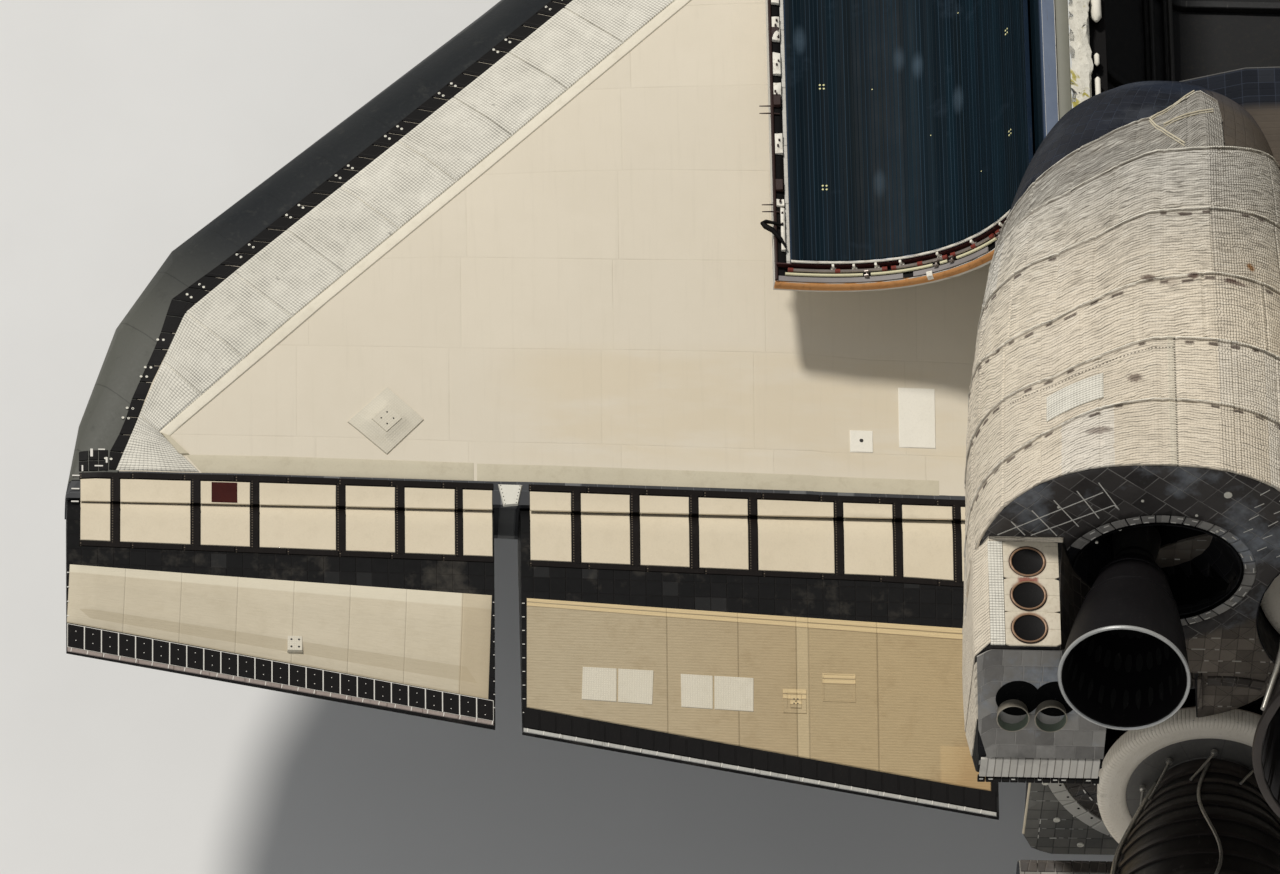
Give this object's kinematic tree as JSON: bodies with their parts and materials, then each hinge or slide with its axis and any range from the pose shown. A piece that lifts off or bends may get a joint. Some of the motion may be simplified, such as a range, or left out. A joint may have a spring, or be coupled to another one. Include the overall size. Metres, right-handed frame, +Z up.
{
  "type": "space shuttle orbiter",
  "caption": "Delta-winged space shuttle orbiter parked on its landing gear, with its payload bay doors open and radiator panels showing, a tall fin, engine pods and nozzles.",
  "frame": {"origin": "on the floor under the middle of the bounding box, wheels on the floor", "axes": "+X forward, +Y to port, +Z up; the vehicle parks 3.6 degrees nose down"},
  "size_m": [36.3438, 23.7744, 17.252],
  "materials": {
    "nose_carbon": "satin",
    "white_blanket": "matte",
    "hatch_skin": "matte",
    "pane": "polished",
    "bay_liner": "matte",
    "rail_metal": "satin",
    "aft_skin": "matte",
    "base_tile": "matte",
    "wing_felt": "matte",
    "edge_carbon": "satin",
    "elevon_skin": "matte",
    "flap_tile": "matte",
    "tail_blanket": "matte",
    "torque_tube": "satin",
    "pod_quilt": "matte",
    "small_nozzle": "satin",
    "engine_bell": "satin",
    "door_skin": "matte",
    "radiator_face": "satin",
    "tyre": "matte",
    "gear_metal": "satin",
    "gear_door_tile": "matte"
  },
  "bodies": {
    "airframe": {"nose_cap": "nose_carbon", "forward_rcs_module": "white_blanket", "forward_fuselage": "white_blanket", "windshield_glass": "pane", "mid_fuselage": "bay_liner", "sill_rail_port": "rail_metal", "sill_rail_starboard": "rail_metal", "aft_fuselage": "aft_skin", "base_heat_shield": "base_tile", "wing_port": "wing_felt", "wing_starboard": "wing_felt", "leading_edge_port": "edge_carbon", "leading_edge_starboard": "edge_carbon", "vertical_fin": "tail_blanket", "oms_pod_port": "pod_quilt", "oms_pod_starboard": "pod_quilt", "oms_nozzle_port": "small_nozzle", "oms_nozzle_starboard": "small_nozzle", "main_engine_top": "engine_bell", "main_engine_port": "engine_bell", "main_engine_starboard": "engine_bell", "main_gear_leg_port": "gear_metal", "main_gear_leg_starboard": "gear_metal", "nose_gear_leg": "gear_metal", "main_gear_door_port": "gear_door_tile", "main_gear_door_starboard": "gear_door_tile", "nose_gear_door_port": "gear_door_tile", "nose_gear_door_starboard": "gear_door_tile"},
    "payload_door_port": {"payload_door_port": "door_skin", "radiator_aft_port": "radiator_face"},
    "radiator_port": {"radiator_forward_port": "radiator_face"},
    "elevon_inboard_port": {"elevon_inboard_port": "elevon_skin"},
    "elevon_outboard_port": {"elevon_outboard_port": "elevon_skin"},
    "speedbrake_port": {"speedbrake_panel_port": "tail_blanket"},
    "main_wheels_port": {"main_tyre_outboard_port": "tyre", "main_tyre_inboard_port": "tyre", "main_axle_port": "gear_metal"},
    "payload_door_starboard": {"payload_door_starboard": "door_skin", "radiator_aft_starboard": "radiator_face"},
    "radiator_starboard": {"radiator_forward_starboard": "radiator_face"},
    "elevon_inboard_starboard": {"elevon_inboard_starboard": "elevon_skin"},
    "elevon_outboard_starboard": {"elevon_outboard_starboard": "elevon_skin"},
    "speedbrake_starboard": {"speedbrake_panel_starboard": "tail_blanket"},
    "main_wheels_starboard": {"main_tyre_outboard_starboard": "tyre", "main_tyre_inboard_starboard": "tyre", "main_axle_starboard": "gear_metal"},
    "body_flap": {"body_flap": "flap_tile"},
    "rudder": {"rudder_torque_tube": "torque_tube"},
    "side_hatch": {"side_hatch": "hatch_skin"},
    "nose_steering": {"nose_gear_fork": "gear_metal"},
    "nose_wheels": {"nose_tyre_port": "tyre", "nose_tyre_starboard": "tyre", "nose_axle": "gear_metal"}
  },
  "joints": [
    {"name": "payload_door_port", "type": "hinge", "parent": "airframe", "child": "payload_door_port", "pos_m": [0.46428, 2.57048, 6.02671], "axis": [-0.998, 0, 0.0628], "range_deg": [-175.5, 0]},
    {"name": "radiator_port", "type": "hinge", "parent": "payload_door_port", "child": "radiator_port", "pos_m": [5.02216, 2.85533, 5.4564], "axis": [0.998, 0, -0.0628], "range_deg": [0, 35.5]},
    {"name": "payload_door_starboard", "type": "hinge", "parent": "airframe", "child": "payload_door_starboard", "pos_m": [0.46428, -2.57048, 6.02671], "axis": [0.998, 0, -0.0628], "range_deg": [-175.5, 0]},
    {"name": "radiator_starboard", "type": "hinge", "parent": "payload_door_starboard", "child": "radiator_starboard", "pos_m": [5.02216, -2.85533, 5.4564], "axis": [-0.998, 0, 0.0628], "range_deg": [0, 35.5]},
    {"name": "elevon_inboard_port", "type": "hinge", "parent": "airframe", "child": "elevon_inboard_port", "pos_m": [-11.02539, 5.34162, 3.61727], "axis": [0.0027, 0.9991, 0.0429], "range_deg": [-25, 40]},
    {"name": "elevon_outboard_port", "type": "hinge", "parent": "airframe", "child": "elevon_outboard_port", "pos_m": [-11.0132, 9.85647, 3.81094], "axis": [0.0027, 0.9991, 0.0429], "range_deg": [-25, 40]},
    {"name": "elevon_inboard_starboard", "type": "hinge", "parent": "airframe", "child": "elevon_inboard_starboard", "pos_m": [-11.02539, -5.34162, 3.61727], "axis": [-0.0027, 0.9991, -0.0429], "range_deg": [-25, 40]},
    {"name": "elevon_outboard_starboard", "type": "hinge", "parent": "airframe", "child": "elevon_outboard_starboard", "pos_m": [-11.0132, -9.85647, 3.81094], "axis": [-0.0027, 0.9991, -0.0429], "range_deg": [-25, 40]},
    {"name": "body_flap", "type": "hinge", "parent": "airframe", "child": "body_flap", "pos_m": [-14.71216, 0, 3.67301], "axis": [0, 1, 0], "range_deg": [-22.55, 11.7]},
    {"name": "rudder", "type": "hinge", "parent": "airframe", "child": "rudder", "pos_m": [-14.89129, 0, 13.58441], "axis": [-0.5016, 0, 0.8651], "range_deg": [-27.1, 27.1]},
    {"name": "speedbrake_port", "type": "hinge", "parent": "rudder", "child": "speedbrake_port", "pos_m": [-14.89129, 0, 13.58441], "axis": [0.5016, 0, -0.8651], "range_deg": [0, 49.3]},
    {"name": "speedbrake_starboard", "type": "hinge", "parent": "rudder", "child": "speedbrake_starboard", "pos_m": [-14.89129, 0, 13.58441], "axis": [-0.5016, 0, 0.8651], "range_deg": [0, 49.3]},
    {"name": "side_hatch", "type": "hinge", "parent": "airframe", "child": "side_hatch", "pos_m": [11.39601, 2.5146, 3.20877], "axis": [-0.998, 0, 0.0628], "range_deg": [0, 90]},
    {"name": "nose_steering", "type": "hinge", "parent": "airframe", "child": "nose_steering", "pos_m": [12.08833, 0, 1.2683], "axis": [0.0628, 0, 0.998], "range_deg": [-10, 10]},
    {"name": "nose_wheels", "type": "hinge", "parent": "nose_steering", "child": "nose_wheels", "pos_m": [12.0341, 0, 0.4064], "axis": [0, 1, 0], "continuous": true},
    {"name": "main_wheels_port", "type": "hinge", "parent": "airframe", "child": "main_wheels_port", "pos_m": [-5.74561, 3.4544, 0.56515], "axis": [0, 1, 0], "continuous": true},
    {"name": "main_wheels_starboard", "type": "hinge", "parent": "airframe", "child": "main_wheels_starboard", "pos_m": [-5.74561, -3.4544, 0.56515], "axis": [0, 1, 0], "continuous": true}
  ],
  "couplings": [
    {"joint": "speedbrake_starboard", "follows": "speedbrake_port", "ratio": 1}
  ]
}
